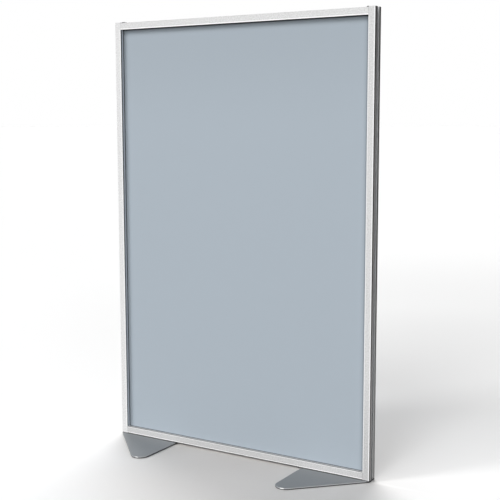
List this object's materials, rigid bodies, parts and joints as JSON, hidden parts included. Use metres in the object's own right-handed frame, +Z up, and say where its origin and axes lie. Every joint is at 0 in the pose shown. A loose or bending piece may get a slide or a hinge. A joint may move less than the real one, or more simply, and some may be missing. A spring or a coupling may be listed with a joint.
{
  "type": "portable partition",
  "caption": "Free-standing rectangular partition: a flat panel in a slotted extruded frame, standing on flat triangular foot plates with rounded tips.",
  "frame": {"origin": "on the floor, under the middle of the frame's width and depth", "axes": "+X along the panel, -Y the face seen from the front, +Z up"},
  "size_m": [1.21, 0.5288, 1.804],
  "materials": {
    "bar_aluminium": "fine-blasted, silver anodised",
    "panel_laminate": "matt blue-grey laminate",
    "core_board": "raw board",
    "gasket_rubber": "black, matt",
    "cap_plastic": "light grey, fine texture",
    "plug_plastic": "black, matt",
    "plate_paint": "grey powder coat, fine texture",
    "pad_rubber": "black",
    "screw_steel": "zinc plated"
  },
  "bodies": {
    "root": {"left_stile": "bar_aluminium", "right_stile": "bar_aluminium", "top_rail": "bar_aluminium", "bottom_rail": "bar_aluminium", "panel_core": "core_board", "panel_front_skin": "panel_laminate", "panel_rear_skin": "panel_laminate", "gasket_left": "gasket_rubber", "gasket_right": "gasket_rubber", "gasket_top": "gasket_rubber", "gasket_bottom": "gasket_rubber", "left_stile_cap": "cap_plastic", "right_stile_cap": "cap_plastic", "left_slot_plug": "plug_plastic", "right_slot_plug": "plug_plastic", "left_foot_plate": "plate_paint", "right_foot_plate": "plate_paint", "left_foot_pads": "pad_rubber", "right_foot_pads": "pad_rubber", "corner_screws": "screw_steel", "stile_foot_screws": "screw_steel", "rail_foot_screws": "screw_steel", "slot_nuts": "screw_steel"}
  },
  "joints": []
}
